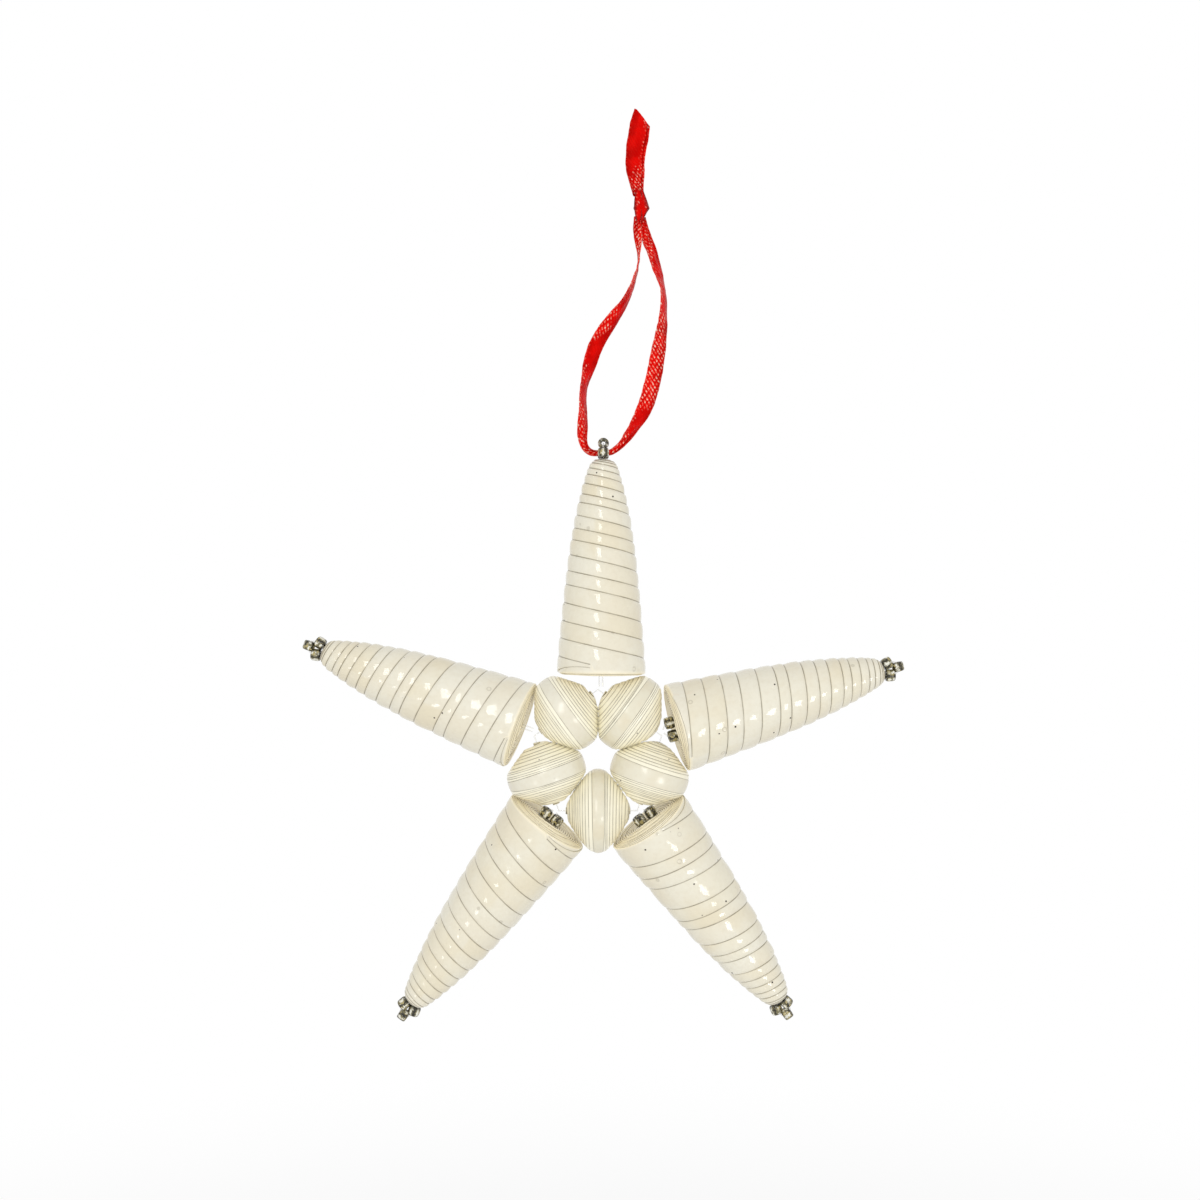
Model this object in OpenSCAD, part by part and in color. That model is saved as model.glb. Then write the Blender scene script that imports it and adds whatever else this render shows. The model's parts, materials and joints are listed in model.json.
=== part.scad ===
// A star ornament of rolled card beads strung on thread, hung from a ribbon loop.
// Millimetres. The star stands in the XZ plane, its front faces -Y and +Z is up.
// The origin is the inside top of the ribbon loop, where a hook or a twig carries it.

/* [Points] */
// Length of a point's card bead along its axis
point_len = 43.2; // [30:0.1:60]
// Radius of a point's bead at its base
base_r = 8.9; // [7:0.1:11]
// Radius of a point's bead at its tip
tip_r = 2.2; // [1.6:0.1:3]
// Radius of the hole along a point's bead
point_bore_r = 1; // [0.8:0.1:1.4]
// How far the card round the hole is pushed open at the base
mouth_flare = 0.5; // [0.3:0.1:0.8]
// Share of the taper that runs straight, while the rest rounds in near the tip
straight_share = 0.56; // [0.3:0.01:0.9]
// Rise of the step where one turn of the card ends on the turn below
point_step = 0.4; // [0.25:0.05:0.8]
// How far the outermost turn stands back from the middle of the base
base_crown = 0.4; // [0:0.1:0.8]
// Angle by which the four free points lean back
free_lean = 6.6; // [0:0.1:10]
// Angle by which the top point leans back, so that the star hangs upright
top_lean = 1.7; // [0:0.1:3]

/* [Ring] */
// Length of a ring bead along its own axis
ring_len = 13.4; // [11:0.1:18]
// Radius of a ring bead at its crest
ring_r = 7.9; // [6:0.1:9.6]
// Radius of a ring bead at its ends
ring_end_r = 1.4; // [1.2:0.1:2]
// Radius of the hole along a ring bead
ring_bore_r = 0.7; // [0.5:0.1:1]
// Rise of the step where one turn of a ring bead's card ends on the turn below
ring_step = 0.6; // [0.3:0.05:1]

/* [Seed beads] */
// Diameter of a glass seed bead
seed_d = 2.1; // [1.6:0.1:2.6]
// Length of a glass seed bead along its hole
seed_len = 1.5; // [1:0.1:2]
// Diameter of the hole in a seed bead
seed_bore_d = 0.9; // [0.7:0.1:1.1]

/* [Ribbon] */
// Width of the ribbon laid flat
ribbon_w = 3.2; // [2:0.1:4]
// Thickness of the ribbon with the curl across it
ribbon_t = 0.5; // [0.3:0.05:0.6]
// Width of the ribbon where it is drawn together through the top loop
ribbon_gather = 0.9; // [0.6:0.1:1.2]
// Height of the slant at the cut ends of the tails
tail_slant = 3.6; // [0:0.1:5]

/* [Thread and clearances] */
// Diameter of the stringing thread
thread_d = 0.3; // [0.2:0.05:0.4]
// Gap between beads that turn against each other
bead_gap = 0.25; // [0.15:0.05:0.5]
// Gap between a seed bead and the end of the card bead it sits on
seed_gap = 0.3; // [0.2:0.05:0.5]

/* [Hidden] */
$fn = 48;
sides = 8;
card_colour = "#efe5c6";
ring_colour = "#f0e4c0";
glass_colour = "#8d8763";
thread_colour = "#d9d4c2";
ribbon_colour = "#d8120f";

// The five points, clockwise from the top as seen from the front
POINTS = ["top", "right", "lower_right", "lower_left", "left"];
// The ring beads, each between one point and the next
BEADS = ["upper_right", "right", "bottom", "left", "upper_left"];
// The points that carry a pair of seed beads under the base
SEEDED = [1, 2, 3];
// The three seed beads of a tip
TIP_BEADS = ["a", "b", "crown"];
pitch = 360 / len(POINTS);
half = pitch / 2;

// Handmade differences of the points: sideways lean in degrees, sideways shift of the base,
// extra length and sideways shift of the seed beads on the tip
side_lean = [-0.6, -2.9, -0.1, -0.4, -2];
side_shift = [-0.6, 0.6, 0.6, -0.5, -1.1];
extra_len = [0, 0.7, 2.9, 3.8, 0];
tip_shift = [0, 0.2, 0.45, 0, 0.1];

// Ring: neighbours lie flank to flank along the mirror line between them
end_gap = bead_gap / 2 / cos(half);
ring_radius = ring_end_r + (ring_len / 2 + end_gap) / tan(half);
ring_turns = round((ring_r - ring_end_r) / ring_step);
function flank(r) = (ring_radius - r) * tan(half) - end_gap;
corner_radius = ring_radius / cos(half);

// Seat of a point: its rim clears the ring beads, and so do the seed beads under its middle
end_out = (ring_radius + ring_end_r) * cos(half) + ring_len / 2 * sin(half);
end_side = (ring_radius + ring_end_r) * sin(half) - ring_len / 2 * cos(half);
base_seed_x = seed_d / 2 + seed_gap;
base_seed_z = -seed_len / 2 - seed_gap;
function clear_of_ring(side) = end_out + (side - end_side) * tan(90 - pitch) + bead_gap;
crest_side = (ring_radius + ring_r) * sin(half) - flank(ring_r) * cos(half);
function rim_seat(k) = clear_of_ring(min(base_r + abs(side_shift[k]), crest_side)) - base_crown;
seed_seat = clear_of_ring(base_seed_x + seed_d / 2) + seed_len + seed_gap;
function seat(k) = max(rim_seat(k), seed_seat) + base_r * sin(abs(side_lean[k]));

// Profile of a point: radius at a share u of the length, and the share at a radius
function point_radius(u) = base_r - (base_r - tip_r) * (straight_share * u + (1 - straight_share) * u ^ 4);
function share_at(r, low = 0, high = 1, halvings = 24) =
    let (middle = (low + high) / 2)
    halvings == 0 ? middle
    : point_radius(middle) > r ? share_at(r, middle, high, halvings - 1)
    : share_at(r, low, middle, halvings - 1);
point_turns = round((base_r - tip_r) / point_step);
// Share of a step by which a turn narrows along its own band
band_taper = 0.4;
function length_of(k) = point_len + extra_len[k];

// Tip: two seed beads flank the thread and the crown bead lies across the top
tip_gap = 0.4;
tip_tilt = 12;
flank_z = seed_len / 2 + seed_d / 2 * sin(tip_tilt) + seed_gap;
crown_z = flank_z + seed_len / 2 + seed_d / 2 * (1 + sin(tip_tilt));
eye_z = crown_z - seed_d / 2 - ribbon_gather / 2 - bead_gap;
eye_gap = ribbon_gather + 2 * bead_gap;
function tip_opening(k) = k == 0 ? eye_gap : tip_gap;
function flank_x(k) = (seed_d + tip_opening(k)) / 2;
function flank_tilt(k) = k == 0 ? 0 : tip_tilt;
// The thread leaves a seed bead's hole straight, and runs beside the middle of a point's hole
thread_run = 0.1;
mouth = seed_len / 2 + thread_run;
thread_x = point_bore_r / 3;

// Directions and places of the points
function angle_of(k) = 90 - pitch * k;
function lean_of(k) = k == 0 ? top_lean : free_lean;
function outward(angle) = [cos(angle), 0, sin(angle)];
function base_of(k) =
    outward(angle_of(k)) * seat(k) + outward(angle_of(k) + 90) * side_shift[k];
function axis_of(k) =
    let (angle = angle_of(k) + side_lean[k], lean = lean_of(k))
    outward(angle) * cos(lean) + [0, sin(lean), 0];

// A seed bead is a ball cut off at its girth and at both ends of its hole
seed_ball = 1.12;

// The eye is where the ribbon runs through the top loop, and the star hangs from it
eye = [-8.2, 0, -40.2];
star = eye - base_of(0) - axis_of(0) * (length_of(0) + eye_z);

// Ribbon routes from the eye to the knot: x, y, z, turn of the flat side, share of the full width
left_route = [
    [-8.2, 0, -40.2, 130, 0],
    [-9.6, 0, -40.5, 130, 0],
    [-11, 0, -40.2, 130, 0],
    [-12.1, 0, -39, 130, 0.2],
    [-12.5, 0, -37, 130, 0.6],
    [-12.3, 0, -34.2, 118, 1],
    [-12.3, 0, -31.4, 100, 1],
    [-12.2, 0, -29, 88, 1],
    [-12, 0, -27, 76, 1],
    [-11.4, 0, -24.3, 64, 1],
    [-10.6, 0, -21.5, 52, 1],
    [-9.6, 0, -18.7, 46, 1],
    [-8, 0, -15.9, 46, 1],
    [-6, 0, -13.1, 54, 1],
    [-4, 0, -10.3, 66, 1],
    [-2.6, 0, -7.4, 76, 1],
    [-1.6, -0.1, -4.6, 82, 1],
    [-1.2, -0.2, -2.6, 90, 1],
    [-1.1, -0.4, 0, 100, 0.9],
    [-1.3, -0.5, 2.2, 120, 0.7],
    [-1.5, -0.5, 4.6, 150, 0.4],
    [-1.4, -0.5, 7, 170, 0.2]
];
right_route = [
    [-8.2, 0, -40.2, 60, 0],
    [-7, 0, -40.2, 60, 0],
    [-6, 0, -39.7, 60, 0],
    [-4.7, 0, -38.6, 60, 0.3],
    [-3.4, 0, -37, 52, 0.7],
    [-1.9, 0, -35, 36, 1],
    [-0.5, 0, -32.6, 22, 1],
    [0.6, 0, -30, 16, 1],
    [1.4, 0, -27.2, 16, 1],
    [2.1, 0, -24.3, 24, 1],
    [2.6, 0, -21.5, 38, 1],
    [3.1, 0, -18.7, 52, 1],
    [3.5, 0, -15.9, 62, 1],
    [3.9, 0, -13.1, 70, 1],
    [4, 0, -10.3, 74, 1],
    [3.8, 0, -7.4, 74, 1],
    [3, 0.1, -4.6, 68, 1],
    [2.4, 0.2, -2.6, 60, 1],
    [1.6, 0.4, 0, 46, 0.9],
    [0.7, 0.5, 2.2, 30, 0.7],
    [0, 0.5, 4.6, 15, 0.4],
    [-0.4, 0.5, 7, 10, 0.2]
];
tail_route = [
    [-1.2, 0, 11.2, 0, 0.3],
    [-1.6, 0, 13.6, 0, 0.6],
    [-1.9, 0, 16.4, 0, 1],
    [-1.9, 0, 19.2, 0, 1],
    [-1.6, 0, 22, 0, 1],
    [-1.1, 0, 24.6, 0, 1],
    [-0.5, 0, 27, 0, 0.7]
];
// Where each tail lies beside the route: to the right, forwards and short of the end
front_tail_shift = [-0.2, -0.45, 0];
back_tail_shift = [0.5, 0.45, -1];
// Knot: centre and half widths of its foot, belly and neck
knot_foot = [-1, 0, 7.2];
knot_belly = [-0.8, 0, 9.1];
knot_neck = [-1.2, 0, 11];
knot_foot_size = [1.1, 1.1, 0.7];
knot_belly_size = [1.6, 1.3, 1.5];
knot_neck_size = [0.9, 0.9, 0.8];
knot_facets = 20;

// Normal of a route at one of its points, in the XZ plane
function route_normal(route, i, loop) =
    let (n = len(route))
    let (a = route[loop ? (i + n - 1) % n : max(i - 1, 0)])
    let (b = route[loop ? (i + 1) % n : min(i + 1, n - 1)])
    let (along = [b.x - a.x, b.z - a.z])
    [along.y, 0, -along.x] / norm(along);

// One ring of a swept tube: wide across the route, thick the other way, turned about the route
function tube_ring(route, i, wide, thick, turn = 0, loop = false) =
    let (normal = route_normal(route, i, loop))
    let (flat = normal * cos(turn) + [0, sin(turn), 0])
    let (up = [0, cos(turn), 0] - normal * sin(turn))
    let (place = [route[i][0], route[i][1], route[i][2]])
    let (fit = 0.5 / cos(180 / sides))
    [for (s = [0:sides - 1])
        let (angle = 360 * (s + 0.5) / sides)
        place + flat * wide * fit * cos(angle) + up * thick * fit * sin(angle)];

module tube(rings, loop = false) {
    n = len(rings);
    walls = [for (i = [0:loop ? n - 1 : n - 2], s = [0:sides - 1])
        let (a = i * sides, b = (i + 1) % n * sides, t = (s + 1) % sides)
        each [[a + s, b + t, a + t], [a + s, b + s, b + t]]];
    last = (n - 1) * sides;
    ends = loop ? [] : [for (s = [1:sides - 2])
        each [[0, s, s + 1], [last, last + s + 1, last + s]]];
    polyhedron(points = [for (r = rings) each r], faces = concat(walls, ends));
}

module thread(route, loop = false) {
    rings = [for (i = [0:len(route) - 1]) tube_ring(route, i, thread_d, thread_d, 0, loop)];
    color(thread_colour) tube(rings, loop);
}

function strip_width(share) = ribbon_gather + (ribbon_w - ribbon_gather) * share;
// Drawn together, the ribbon is as thick as it is wide
function strip_thickness(share) = max(ribbon_t, ribbon_gather * (1 - share));
function strip_rings(route) = [for (i = [0:len(route) - 1])
    tube_ring(route, i, strip_width(route[i][4]), strip_thickness(route[i][4]), route[i][3])];

module ribbon_strand(route) {
    color(ribbon_colour) tube(strip_rings(route));
}

// A tail rises from the knot, and its cut end slants down to the right
module ribbon_tail(shift) {
    rings = strip_rings(tail_route);
    last = len(rings) - 1;
    middle = tail_route[last].x;
    function slanted(p) = p - [0, 0, (p.x - middle) / ribbon_w * tail_slant];
    cut = concat([for (i = [0:last - 1]) rings[i]], [[for (p = rings[last]) slanted(p)]]);
    color(ribbon_colour) translate(shift) tube(cut);
}

module ribbon_knot() {
    color(ribbon_colour) hull() {
        translate(knot_foot) scale(knot_foot_size) sphere(1, $fn = knot_facets);
        translate(knot_belly) scale(knot_belly_size) sphere(1, $fn = knot_facets);
        translate(knot_neck) scale(knot_neck_size) sphere(1, $fn = knot_facets);
    }
}

// Carries its children to a point's base, with +Z along the point
module at_point(k) {
    translate(star + base_of(k))
        rotate([-lean_of(k), 90 - angle_of(k) - side_lean[k], 0])
            children();
}

// Carries its children to a point's tip; the top loop stands edge on to the front
module at_tip(k) {
    at_point(k) translate([0, 0, length_of(k)]) rotate([0, 0, k == 0 ? 90 : 0]) children();
}

// Half of the thread's way through a tip, from the hole's mouth to the crown bead
function tip_half(k) =
    let (tilt = flank_tilt(k), x = flank_x(k))
    let (reach = [sin(tilt), cos(tilt)] * mouth)
    [[thread_x, thread_run],
     [x - reach.x, flank_z - reach.y],
     [x + reach.x, flank_z + reach.y],
     [mouth, crown_z]];
// Half of the thread's way from the ring to the tip, round a seed bead where there is one
function stem_half(k) =
    let (x = thread_x, seeded = len(search(k, SEEDED)) > 0)
    let (foot = corner_radius - seat(k) + thread_d + seed_gap)
    let (low = [base_seed_x, base_seed_z - mouth], high = [base_seed_x, base_seed_z + mouth])
    let (turned_in = [(base_seed_x + x) / 2, mouth_flare / 2])
    concat([[x, foot]], seeded ? [low, high, turned_in] : [], [[x, 2 * mouth_flare]]);
function mirrored(path) = [for (i = [len(path) - 1:-1:0]) [-path[i].x, path[i].y]];
function upright(path, z = 0, x = 0) = [for (p = path) [p.x + x, 0, p.y + z]];

module loop_thread() {
    path = tip_half(0);
    at_tip(0) thread(upright(concat(path, mirrored(path))));
}

// The thread of a point: up one side, round the tip beads and down the other side
module point_thread(k) {
    stem = stem_half(k);
    tip = tip_half(k);
    rise = concat(upright(stem), upright(tip, length_of(k), tip_shift[k]));
    fall = concat(upright(mirrored(tip), length_of(k), tip_shift[k]), upright(mirrored(stem)));
    at_point(k) thread(concat(rise, fall));
}

// The top point's thread stops inside the tip, where the loop's own thread takes over
module top_thread() {
    stem = stem_half(0);
    top = [[thread_x, length_of(0) - seed_gap]];
    rise = concat(stem, top);
    at_point(0) thread(upright(concat(rise, mirrored(rise))));
}

module ring_thread() {
    corners = [for (k = [0:len(POINTS) - 1]) outward(angle_of(k)) * corner_radius];
    translate(star) thread(corners, loop = true);
}

// A card strip rolled up from its wide end: each turn stops short of the turn below
module point_bead(k) {
    long = length_of(k);
    rise = (base_r - tip_r) / point_turns;
    function step_at(i) = i == 0 ? base_crown : long * share_at(base_r - i * rise);
    steps = [for (i = [0:point_turns - 1])
        each [[base_r - i * rise, step_at(i)], [base_r - (i + band_taper) * rise, step_at(i + 1)]]];
    color(card_colour) at_point(k) rotate_extrude() polygon(concat(
        [[point_bore_r, mouth_flare], [point_bore_r + mouth_flare, 0], [base_r / 2, 0]],
        steps,
        [[tip_r, long], [point_bore_r, long]]
    ));
}

// A rolled bead with its turns stepping down from the crest to both ends
module ring_bead(k) {
    rise = (ring_r - ring_end_r) / ring_turns;
    side = [for (i = [0:ring_turns])
        let (r = ring_r - i * rise)
        each i == 0 ? [[r, flank(r)]] : [[r, flank(r + rise)], [r, flank(r)]]];
    other = [for (i = [len(side) - 1:-1:0]) [side[i].x, -side[i].y]];
    angle = angle_of(k) - half;
    bore = [[ring_bore_r, -flank(ring_end_r)], [ring_bore_r, flank(ring_end_r)]];
    color(ring_colour) translate(star + outward(angle) * ring_radius)
        rotate([0, -angle, 0])
            rotate_extrude() polygon(concat(bore, [for (i = [len(side) - 1:-1:0]) side[i]],
                [for (i = [len(other) - 1:-1:0]) other[i]]));
}

module seed_bead() {
    color(glass_colour) difference() {
        intersection() {
            sphere(d = seed_d * seed_ball);
            cylinder(d = seed_d, h = seed_len, center = true);
        }
        cylinder(d = seed_bore_d, h = seed_len * 2, center = true);
    }
}

module tip_bead(k, place) {
    side = place == "a" ? 1 : -1;
    at_tip(k) translate([tip_shift[k], 0, 0]) {
        if (place == "crown")
            translate([0, 0, crown_z]) rotate([0, 90, 0]) seed_bead();
        else
            translate([side * flank_x(k), 0, flank_z]) rotate([0, side * flank_tilt(k), 0]) seed_bead();
    }
}

module base_bead(k, side) {
    at_point(k) translate([side * base_seed_x, 0, base_seed_z]) seed_bead();
}

ribbon_strand(left_route);  // ribbon_left
ribbon_strand(right_route);  // ribbon_right
ribbon_knot();
ribbon_tail(front_tail_shift);  // ribbon_tail_front
ribbon_tail(back_tail_shift);  // ribbon_tail_back
loop_thread();
ring_thread();
top_thread();  // thread_top
for (k = [1:len(POINTS) - 1])
    point_thread(k);
for (k = [0:len(POINTS) - 1])
    point_bead(k);
for (k = [0:len(BEADS) - 1])
    ring_bead(k);
for (k = [0:len(POINTS) - 1], t = TIP_BEADS)
    tip_bead(k, t);
for (k = SEEDED)
    base_bead(k, 1);
for (k = SEEDED)
    base_bead(k, -1);
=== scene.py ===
import json
import math
import random
from functools import lru_cache

import bpy
from mathutils import Matrix, Vector, noise

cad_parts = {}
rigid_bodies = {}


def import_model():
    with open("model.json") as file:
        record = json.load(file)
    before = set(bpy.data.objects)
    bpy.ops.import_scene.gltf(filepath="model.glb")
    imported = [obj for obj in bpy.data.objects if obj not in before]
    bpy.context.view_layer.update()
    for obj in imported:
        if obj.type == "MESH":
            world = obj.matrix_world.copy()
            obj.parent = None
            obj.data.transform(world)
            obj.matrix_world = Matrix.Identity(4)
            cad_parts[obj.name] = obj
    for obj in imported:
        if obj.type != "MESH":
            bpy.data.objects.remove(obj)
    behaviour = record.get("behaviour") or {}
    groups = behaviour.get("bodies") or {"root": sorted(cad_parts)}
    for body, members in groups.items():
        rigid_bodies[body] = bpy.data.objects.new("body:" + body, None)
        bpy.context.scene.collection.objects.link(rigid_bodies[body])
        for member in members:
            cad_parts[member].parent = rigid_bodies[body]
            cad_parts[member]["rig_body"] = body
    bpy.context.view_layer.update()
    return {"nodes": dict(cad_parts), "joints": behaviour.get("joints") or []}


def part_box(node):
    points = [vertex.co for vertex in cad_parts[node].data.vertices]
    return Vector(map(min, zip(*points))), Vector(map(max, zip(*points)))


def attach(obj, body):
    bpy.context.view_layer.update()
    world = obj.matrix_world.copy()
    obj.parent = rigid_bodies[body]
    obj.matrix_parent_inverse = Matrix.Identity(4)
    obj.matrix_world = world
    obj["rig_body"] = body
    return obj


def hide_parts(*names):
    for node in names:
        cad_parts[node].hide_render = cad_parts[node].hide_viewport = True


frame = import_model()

# A star of rolled card beads strung on thread, hung from a red ribbon. Metres; the front faces -Y.
mm = 0.001
scene = bpy.context.scene
scene.view_settings.view_transform = "Standard"

pointNames = ["top", "right", "lower_right", "lower_left", "left"]
ringNames = ["upper_right", "right", "bottom", "left", "upper_left"]
joints = {joint["name"]: joint for joint in frame["joints"]}
nodes = frame["nodes"]


def bodyOf(node):
    return nodes[node]["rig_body"]


def jointPlace(name):
    return Vector(joints[name]["pos_m"])


def beadFrame(name):
    # a bead's own axes: local Z along its hole, local X in the star's plane, local -Y to the front
    axis = Vector(joints[name]["axis"]).normalized()
    across = Vector((0, 1, 0)).cross(axis).normalized()
    placed = Matrix((across, axis.cross(across), axis)).transposed().to_4x4()
    placed.translation = jointPlace(name)
    return placed


ringCentre = sum((jointPlace(f"ring_{name}_spin") for name in ringNames), Vector()) / len(ringNames)

# Camera: square on to the star, a little above its ring
shot = {"side": 0.4 * mm, "back": 330 * mm, "up": 31.3 * mm, "lens": 49.5, "sensor": 36, "nearest": 10 * mm}
bpy.ops.object.camera_add(
    location=ringCentre + Vector((shot["side"], -shot["back"], shot["up"])),
    rotation=(math.pi / 2, 0, 0),
)
camera = bpy.context.object
camera.name = "photoCamera"
camera.data.lens = shot["lens"]
camera.data.sensor_width = shot["sensor"]
camera.data.clip_start = shot["nearest"]
scene.camera = camera
print("camera placed")


class Shade:
    # One output of a shader node. Arithmetic on it adds Math nodes.
    def __init__(self, tree, socket=None):
        self.tree = tree
        self.socket = socket

    def add(self, kind, settings=None, inputs=None, out=0):
        # settings come first; inputs are values or links by socket name or number
        node = self.tree.nodes.new(kind)
        for key, value in (settings or {}).items():
            setattr(node, key, value)
        for key, value in (inputs or {}).items():
            if isinstance(value, Shade):
                self.tree.links.new(value.socket, node.inputs[key])
            else:
                node.inputs[key].default_value = value
        return Shade(self.tree, node.outputs[out])

    def maths(self, operation, first, second=0.0):
        return self.add("ShaderNodeMath", {"operation": operation}, {0: first, 1: second})

    def __add__(self, other):
        return self.maths("ADD", self, other)

    def __radd__(self, other):
        return self.maths("ADD", other, self)

    def __sub__(self, other):
        return self.maths("SUBTRACT", self, other)

    def __rsub__(self, other):
        return self.maths("SUBTRACT", other, self)

    def __mul__(self, other):
        return self.maths("MULTIPLY", self, other)

    def __rmul__(self, other):
        return self.maths("MULTIPLY", other, self)

    def sine(self):
        return self.maths("SINE", self)

    def step(self, start, end, low=0.0, high=1.0):
        # rises smoothly from low to high between start and end
        settings = {"interpolation_type": "SMOOTHSTEP"}
        inputs = {"Value": self, "From Min": start, "From Max": end, "To Min": low, "To Max": high}
        return self.add("ShaderNodeMapRange", settings, inputs)

    def colours(self, first, second):
        # this value mixes one colour into another
        inputs = {0: self, 6: colour(first), 7: colour(second)}
        return self.add("ShaderNodeMix", {"data_type": "RGBA"}, inputs, 2)

    def apart(self):
        parts = self.add("ShaderNodeSeparateXYZ", None, {0: self}).socket.node.outputs
        return [Shade(self.tree, part) for part in parts]


def colour(value):
    # screen values 0 to 255 as the linear colour that a shader takes
    if isinstance(value, Shade):
        return value
    parts = [part / 255 for part in value]
    return (*(p / 12.92 if p <= 0.04045 else ((p + 0.055) / 1.055) ** 2.4 for p in parts), 1)


def newMaterial(name):
    material = bpy.data.materials.new(name)
    material.use_nodes = True
    return material, Shade(material.node_tree)


def principled(material):
    return material.node_tree.nodes["Principled BSDF"].inputs


def link(paint, socket):
    paint.tree.links.new(paint.socket, socket)


def markOf(paint, name):
    # a value that the mesh carries at each vertex
    return paint.add("ShaderNodeAttribute", {"attribute_name": name}, out="Fac")


def noiseAt(paint, place, size, detail=2.0, rough=0.5):
    # soft noise whose lumps measure about size
    inputs = {"Vector": place, "Scale": 1 / size, "Detail": detail, "Roughness": rough}
    return paint.add("ShaderNodeTexNoise", None, inputs, "Fac")


def spotsAt(paint, place, spacing, share):
    # distance in metres from scattered spots, and a mask that keeps only a share of them
    cells = paint.add("ShaderNodeTexVoronoi", None, {"Vector": place, "Scale": 1 / spacing})
    chance = Shade(paint.tree, cells.socket.node.outputs["Color"]).apart()[0]
    fade = 0.01
    return cells * spacing, chance.step(share, share - fade)


def bumpTo(material, paint, height):
    bump = paint.add("ShaderNodeBump", None, {"Strength": 1.0, "Distance": 1.0, "Height": height})
    link(bump, principled(material)["Normal"])


def deselectAll():
    bpy.ops.object.select_all(action="DESELECT")


def applyModifier(piece, kind, **settings):
    bpy.ops.object.modifier_add(type=kind)
    modifier = piece.modifiers[-1]
    for key, value in settings.items():
        setattr(modifier, key, value)
    bpy.ops.object.modifier_apply(modifier=modifier.name)


def resizeActive(value, centre):
    bpy.ops.object.mode_set(mode="EDIT")
    bpy.ops.mesh.select_all(action="SELECT")
    bpy.ops.transform.resize(value=value, center_override=centre)
    bpy.ops.object.mode_set(mode="OBJECT")


def carryMarks(piece, marks):
    # values at each vertex, which the paint reads by name
    for mark, values in marks.items():
        piece.data.attributes.new(mark, "FLOAT", "POINT").data.foreach_set("value", values)


def closeNormals(piece, sharp=math.radians(50)):
    deselectAll()
    piece.select_set(True)
    bpy.context.view_layer.objects.active = piece
    bpy.ops.object.mode_set(mode="EDIT")
    bpy.ops.mesh.select_all(action="SELECT")
    bpy.ops.mesh.normals_make_consistent(inside=False)
    bpy.ops.object.mode_set(mode="OBJECT")
    bpy.ops.object.shade_smooth_by_angle(angle=sharp)


def shapedSlab(columns, rows, place, markNames):
    # a gridded sheet with a thickness; place(column, row, outside) gives each vertex its spot and its marks
    deselectAll()
    bpy.ops.mesh.primitive_grid_add(x_subdivisions=columns, y_subdivisions=rows, size=1)
    sheet = bpy.context.object
    applyModifier(sheet, "SOLIDIFY", thickness=1, offset=1)
    marks = {name: [] for name in markNames}
    for vertex in sheet.data.vertices:
        column = round((vertex.co.x + 0.5) * columns)
        row = round((vertex.co.y + 0.5) * rows)
        vertex.co, found = place(column, row, vertex.co.z > 0.5)
        for name, value in zip(markNames, found):
            marks[name].append(value)
    carryMarks(sheet, marks)
    closeNormals(sheet)
    return sheet


def standIn(piece, name, material, slot, *replaced):
    # the finished piece takes the place of its CAD node and moves with that node's body
    piece.name = name
    piece.data.name = name
    piece.data.materials.clear()
    piece.data.materials.append(material)
    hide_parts(*replaced)
    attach(piece, bodyOf(replaced[0]))
    return piece


def clamp(value, low=0.0, high=1.0):
    return max(low, min(high, value))


# Ribbon: narrow red satin, threaded through the top loop and tied above it
satinLook = {
    # spark and bright are painted highlights; away is painted shade
    "red": (240, 8, 4), "deep": (200, 0, 0), "spark": (255, 112, 92), "bright": (255, 216, 194),
    "edge": (255, 104, 84), "away": (122, 0, 0),
    "twillShare": 0.25, "edgeShare": 0.9, "glintShare": 0.9, "awayShare": 0.9,
    # in mm on the ribbon: spacing of the threads both ways, start of the selvedge, half the width
    "weave": 0.9, "cross": 0.9, "selvedge": 1.2, "half": 1.6,
    # how far the thread loops shift each weave, the slant of the cross threads, and what the dots come from
    "twillShift": 0.35, "crossShift": 0.5, "crossSlant": 0.35, "dotCross": 0.5, "dotLoops": 0.9,
    "loop": 0.45 * mm, "glintPatch": 1.8 * mm, "cloud": 2.6 * mm,
    "bumpDepth": 0.03 * mm, "crossBump": 0.5,
    "rough": 0.42, "dotGloss": 0.12, "specular": 0.12, "specularTint": (1, 0.3, 0.2, 1),
    # where each mask starts and where it is full
    "patchMask": (0.85, 1.2), "twillMask": (0.4, 0.9), "dotMask": (0.5, 0.9), "brightMask": (0.5, 0.6),
    "edgeMask": (0.0, 0.9), "edgeLoops": (0.35, 0.6), "cloudMask": (0.35, 0.7),
}
ribbonLook = {
    "width": 3.2 * mm, "gathered": 0.9 * mm, "thick": 0.2 * mm, "columns": 190, "rows": 16,
    "stepAlong": 0.004, "stepAcross": 0.02, "cup": 0.16 * mm, "cupLevel": 0.4,
    "pleats": 2, "pleatShare": 0.8,
    "wave": 0.12 * mm, "waveSize": 3 * mm, "waveAcross": 1.2, "waveSeed": 9.7,
    "fray": 0.06, "fraySize": 1.1 * mm, "fraySeed": 3.1, "tailRise": 3.6 / 3.2, "tailBlunt": 0.3,
    # which edge gets more painted glints, and how dark the painted shade on the other one is
    "tailLean": 0.6, "strandLean": -0.6, "shadeShare": 0.9, "shadeFrom": 0.1,
    "tailSeed": 5, "strandSeed": 1,
}
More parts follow.
